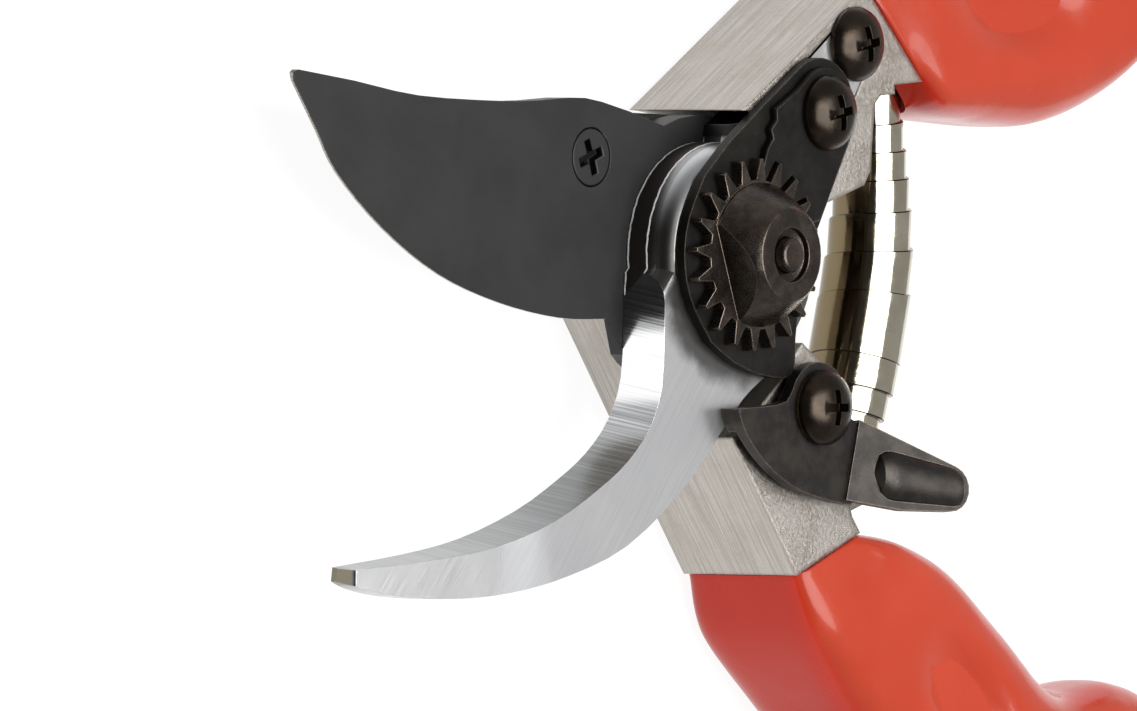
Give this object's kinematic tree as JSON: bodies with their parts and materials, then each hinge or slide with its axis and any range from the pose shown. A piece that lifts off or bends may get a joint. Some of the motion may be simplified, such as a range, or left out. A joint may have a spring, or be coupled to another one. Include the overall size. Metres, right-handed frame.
{
  "type": "pruning shears",
  "caption": "Bypass pruning shears with a hooked counter blade, a toothed pivot nut, a thumb latch, a volute spring and dipped grips, shown open.",
  "frame": {"origin": "on the pivot's axis, on the flat back of the pivot bolt's head, which the shears rest on", "axes": "+X from the jaws to the handles, +Y across the jaws towards the cutting blade, +Z out of the nut side"},
  "size_m": [0.2136, 0.1386, 0.0251],
  "materials": {
    "cast_aluminium": "cast and belt-ground, satin",
    "red_grip": "glossy dipped plastic",
    "black_blade": "satin black coating",
    "bright_steel": "ground and brushed",
    "black_hardware": "blackened, worn satin",
    "bronze": "dark bronze",
    "nickel_spring": "nickel-plated strip"
  },
  "bodies": {
    "upper_handle": {"upper_handle_forging": "cast_aluminium", "upper_grip": "red_grip", "hook_blade": "bright_steel", "hook_tail_screw": "black_hardware", "segment_screw": "black_hardware", "cover_plate": "black_hardware", "toothed_segment": "black_hardware", "pivot_bolt": "black_hardware", "toothed_nut": "black_hardware", "back_washer": "bronze", "upper_spring_peg": "black_hardware"},
    "lower_handle": {"lower_handle_forging": "cast_aluminium", "lower_grip": "red_grip", "cutting_blade": "black_blade", "blade_screw": "black_hardware", "blade_nut": "black_hardware", "pivot_bush": "bronze", "latch_screw": "black_hardware", "latch_washer": "bronze", "latch_spring_washer": "black_hardware", "volute_spring": "nickel_spring", "lower_spring_peg": "black_hardware"},
    "latch": {"thumb_latch": "black_hardware"}
  },
  "joints": [
    {"name": "handle_pivot", "type": "hinge", "parent": "upper_handle", "child": "lower_handle", "pos_m": [0, 0, 0.0118], "axis": [0, 0, 1], "range_deg": [0, 47], "stiffness_Nm_per_rad": 0.8, "springref_deg": -20.05, "deforming": ["volute_spring"]},
    {"name": "latch_pivot", "type": "hinge", "parent": "lower_handle", "child": "latch", "pos_m": [0.0104, -0.0163, 0.0187], "axis": [0, 0, -1], "range_deg": [0, 12]}
  ]
}
